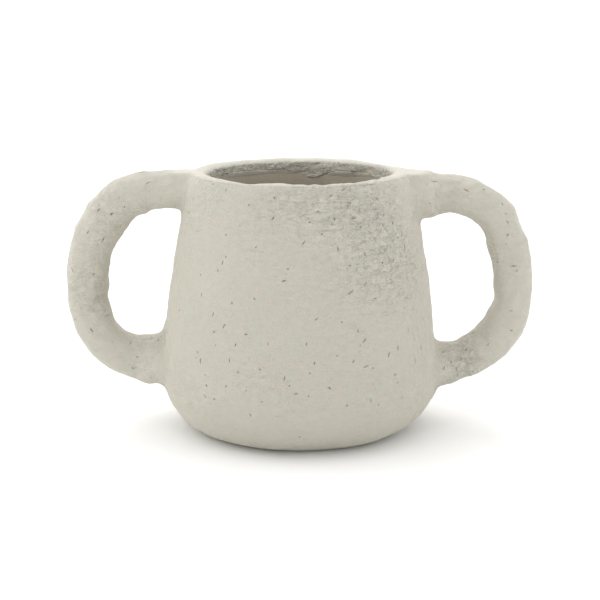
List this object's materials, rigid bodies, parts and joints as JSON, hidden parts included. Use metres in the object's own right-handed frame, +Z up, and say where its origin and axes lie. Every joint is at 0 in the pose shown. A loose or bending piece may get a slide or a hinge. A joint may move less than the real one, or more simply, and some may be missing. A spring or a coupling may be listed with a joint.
{
  "type": "plant pot",
  "caption": "Thick-walled paper pulp plant pot with a low belly, a narrower folded rim and a loop handle on each side, lined against water.",
  "frame": {"origin": "centre of the flat foot, on the surface that the pot stands on", "axes": "+X through the handles towards the right one as seen from the front, +Y away from the front, +Z up along the pot's axis"},
  "size_m": [0.3345, 0.1996, 0.1855],
  "materials": {
    "pulp": "matt, rough, fibrous",
    "inside_pulp": "matt, rough",
    "wire": "drawn",
    "waterproof_coat": "satin, brushed on"
  },
  "bodies": {
    "root": {"pot_wall": "pulp", "pot_floor": "pulp", "rim_band": "pulp", "floor_seam_strip": "inside_pulp", "lining": "waterproof_coat", "left_handle": "pulp", "left_handle_core": "wire", "left_upper_collar": "pulp", "left_lower_collar": "pulp", "right_handle": "pulp", "right_handle_core": "wire", "right_upper_collar": "pulp", "right_lower_collar": "pulp"}
  },
  "joints": []
}
